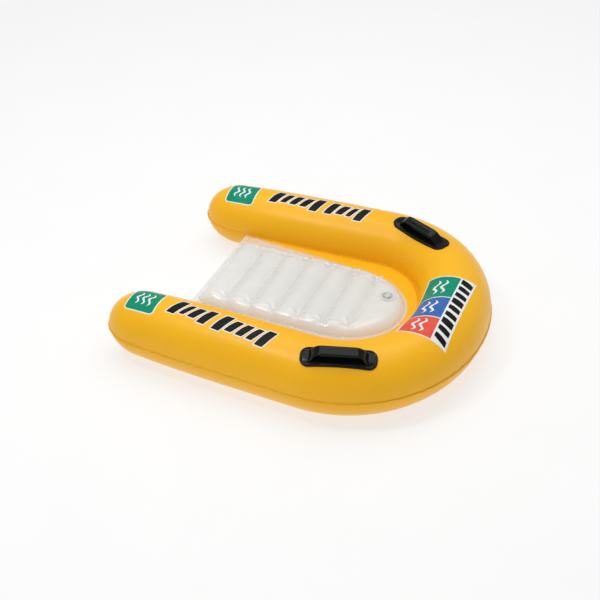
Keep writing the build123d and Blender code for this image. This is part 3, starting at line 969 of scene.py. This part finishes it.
def lay_ink(name, plans, middle, angle, turn, layer, material):
    """Ink patches from plans of (along, across) metres, centred at a distance and an angle of the tube
    and turned by `turn`. `layer` counts the coats beneath."""
    grids = []
    for plan, wrap in plans:
        along = plan[..., 0] * np.cos(turn) - plan[..., 1] * np.sin(turn)
        across = plan[..., 0] * np.sin(turn) + plan[..., 1] * np.cos(turn)
        points = on_tube(middle + along, angle + across / arm_radius, lift=coat * (layer + 1))
        grids.append((points, grid_faces(*points.shape[:2], wrap=wrap)))
    ink_coat(name, grids, middle, material)


def slanted_stroke(centre, width, height, slant, grow, bulge=0.0):
    """One slanted stroke: a four-sided patch `grow` larger all round, with softly bowed sides."""
    across = np.linspace(-1, 1, 11)[:, None]
    along = np.linspace(-1, 1, 5)[None, :]
    half = height / 2 + grow
    y = half * across + 0 * along
    wide = width / 2 + grow + bulge * (1 - across**2)
    x = centre + wide * along + slant * (y / height)
    return np.stack([x, y], -1), False


def wave_line(centre, length, amplitude, waves, width):
    """A ribbon that follows a sine wave and tapers at its ends."""
    t = np.linspace(0, 1, 60)[:, None]
    edge = np.linspace(-1, 1, 4)[None, :]
    x = centre[0] + length * (t - 0.5) + 0 * edge
    taper = np.sin(np.pi * np.clip(t, 0.02, 0.98)) ** 0.35
    y = centre[1] + amplitude * np.sin(2 * np.pi * waves * t) + width / 2 * taper * edge
    return np.stack([x, y], -1), False


def badge(half_length, half_width, corner, count=96, rings=14):
    """A filled rounded rectangle, as a patch that closes in its middle."""
    return patch_plan(rounded_outline(half_length, half_width, corner, count), rings), True


# %% [markdown]
# The strokes on the arms stand in two groups, a short one and a long one, each with its own width and
# height. Both arms carry the same row, and it starts at the end nearer the tip.

# %% Strokes on the arms
stroke_widths = [0.0180, 0.0110, 0.0160, 0.0170, 0.0, 0.0185, 0.0160, 0.0160, 0.0135, 0.0180]
stroke_heights = [0.046, 0.033, 0.033, 0.043, 0.0, 0.046, 0.033, 0.033, 0.033, 0.043]
stroke_gap = 0.0095
word_gap = 0.010
arm_strokes = []
place = 0.0
for width, height in zip(stroke_widths, stroke_heights):
    if width == 0.0:
        place += word_gap
        continue
    arm_strokes.append((place + width / 2, width, height))
    place += width + stroke_gap
row_length = place - stroke_gap
stroke_slant = -0.014
stroke_border = 0.0024
stroke_bulge = 0.0012
print("row of strokes:", round(row_length, 3), "m long")

arm_rows = {"right": (0.563, np.radians(82), 0.085), "left": (-0.548, np.radians(96), 0.026)}
for side, (middle, angle, turn) in arm_rows.items():
    coats = ((0, stroke_border, white_ink, "white"), (1, 0.0, black_ink, "black"))
    for layer, grow, ink, colour in coats:
        plans = [
            slanted_stroke(row_length / 2 - x, w, h, stroke_slant, grow, stroke_bulge)
            for x, w, h in arm_strokes
        ]
        lay_ink(f"{side}_arm_strokes_{colour}", plans, middle, angle, turn, layer, ink)

# %% Badges near the tips
badge_half = (0.034, 0.037)
badge_border = 0.003
badge_corner = 0.008
badge_places = {"right": (0.748, np.radians(88)), "left": (-0.742, np.radians(97))}
for side, (middle, angle) in badge_places.items():
    with_border = [half + badge_border for half in badge_half]
    outer = badge(*with_border, badge_corner + badge_border)
    lay_ink(f"{side}_badge_border", [outer], middle, angle, 0.0, 0, white_ink)
    lay_ink(f"{side}_badge_field", [badge(*badge_half, badge_corner)], middle, angle, 0.0, 1, green_ink)
    waves = [wave_line((0, y), 0.040, 0.0035, 1.5, 0.0052) for y in (-0.014, 0.0, 0.014)]
    lay_ink(f"{side}_badge_waves", waves, middle, angle, np.pi / 2, 2, white_ink)

# %% [markdown]
# The panel on the bow has straight edges when it is seen from above. So it is drawn flat, as x and y,
# and dropped on the tube like a handle's pad. The fields are plain rectangles, one colour each, with two
# wave lines on every field. The outer strip has a row of strokes like the arms'.

# %% Panel on the bow
panel_low, panel_high = -0.078, 0.143
panel_inner, panel_split, panel_outer = -0.072, -0.001, 0.033
border = 0.0028
print_clearance = 0.0002
bow_seat = (
    np.array([0, bow_y, axis_z + bow_radius]), np.array([1.0, 0, 0]), np.array([0, 1.0, 0]),
    np.array([0, 0, 1.0]),
)


def panel_field(low, high, inner, outer):
    """A rectangular patch from its low end to its high end and from its inner to its outer edge."""
    across = np.linspace(0, 1, 30)[None, :]
    along = np.linspace(0, 1, 30)[:, None]
    y = inner + (outer - inner) * across + 0 * along
    x = low + (high - low) * along + 0 * across
    return np.stack([x, y], -1), False


def print_on_bow(name, plans, layer, ink):
    """Ink patches drawn as seen from above, dropped on the bow. `layer` counts the coats beneath."""
    grids = []
    for plan, wrap in plans:
        points = drop_on_tube(plan, bow_seat, print_clearance + coat * (layer + 1))
        grids.append((points, grid_faces(*points.shape[:2], wrap=wrap, flip=True)))
    ink_coat(name, grids, 0.0, ink)


print_on_bow(
    "bow_panel_white", [panel_field(panel_low, panel_high, panel_inner, panel_outer)], 0, white_ink
)
field_edges = (panel_low + border, 0.0, 0.075, panel_high - border)
waves_on_a_field = 2
for i, (ink, colour) in enumerate(((green_ink, "green"), (blue_ink, "blue"), (red_ink, "red"))):
    low = field_edges[i] + (border / 2 if i else 0)
    high = field_edges[i + 1] - (border / 2 if i < 2 else 0)
    field = panel_field(low, high, panel_inner + border, panel_split)
    print_on_bow(f"bow_panel_{colour}", [field], 1, ink)
    middle = (low + high) / 2
    depth = (panel_inner + panel_split) / 2
    spread = 0.016 * (np.arange(waves_on_a_field) - (waves_on_a_field - 1) / 2)
    waves = [wave_line((middle, depth + y), 0.046, 0.0044, 1.5, 0.0062) for y in spread]
    print_on_bow(f"bow_panel_{colour}_waves", waves, 2, white_ink)
panel_strokes = [
    slanted_stroke(x, 0.0125 if i % 3 else 0.0165, 0.026, 0.010, 0.0, stroke_bulge)
    for i, x in enumerate(np.linspace(panel_low + 0.017, panel_high - 0.017, 9))
]
strip_middle = np.array([0, (panel_split + panel_outer) / 2])
panel_strokes = [(plan + strip_middle, wrap) for plan, wrap in panel_strokes]
print_on_bow("bow_panel_strokes", panel_strokes, 1, black_ink)

# %% [markdown]
# ## Valves
#
# The valves are small precise mouldings that move and fit, so they come straight from the CAD. They
# only get their finish: soft, slightly milky vinyl, through which the stem and its flap show.

# %% Valve finishes
for name, node in frame["nodes"].items():
    if "_valve_" in name:
        node.data.materials[0] = valve_vinyl

# %% [markdown]
# ## Floor, light and air
#
# The float stands in a plain studio: a large pale table that glows a little, as a lit product table
# does, a pale room that fills the shadows, and two soft lights. The large one hangs overhead and brings
# out the top of the tube. The small, brighter one, off to the right, gives the deck's bulges and the
# black handles their crisp highlights.

# %% Floor and lights
def plain_floor():
    """A large flat square, pale all over and faintly cloudy, with a glow that thins the shadows."""
    corner = 40.0
    mesh = bpy.data.meshes.new("floor")
    mesh.from_pydata(
        [(-corner, -corner, 0), (corner, -corner, 0), (corner, corner, 0), (-corner, corner, 0)],
        [], [(0, 1, 2, 3)],
    )
    glow = {"Specular IOR Level": 0.1, "Emission Color": (1, 1, 1, 1), "Emission Strength": 0.68}
    pale = vinyl("pale_floor", (0.30, 0.30, 0.30), (0.31, 0.31, 0.31), 0.8, 0.9, glow, bump=0.0)
    mesh.materials.append(pale)
    floor = bpy.data.objects.new("floor", mesh)
    bpy.context.scene.collection.objects.link(floor)
    floor.location.z = -0.0005


def soft_light(name, place, target, size, power):
    """A large square light at `place` that faces `target`."""
    light = bpy.data.lights.new(name, "AREA")
    light.size = size
    light.energy = power
    lamp = bpy.data.objects.new(name, light)
    bpy.context.scene.collection.objects.link(lamp)
    lamp.location = place
    lamp.rotation_mode = "QUATERNION"
    lamp.rotation_quaternion = (Vector(target) - Vector(place)).to_track_quat("-Z", "Y")


plain_floor()
soft_light("overhead_softbox", (-0.5, -0.1, 2.4), (0, 0, 0.1), 2.2, 30.0)
soft_light("bright_softbox", (0.80, -0.70, 2.05), (0, 0, 0.1), 0.38, 9.0)
world = bpy.data.worlds.new("pale_room")
world.use_nodes = True
set_inputs(world.node_tree.nodes["Background"], {"Color": (1.0, 1.0, 1.0, 1), "Strength": 0.48})
bpy.context.scene.world = world
bpy.context.scene.view_settings.view_transform = "Standard"
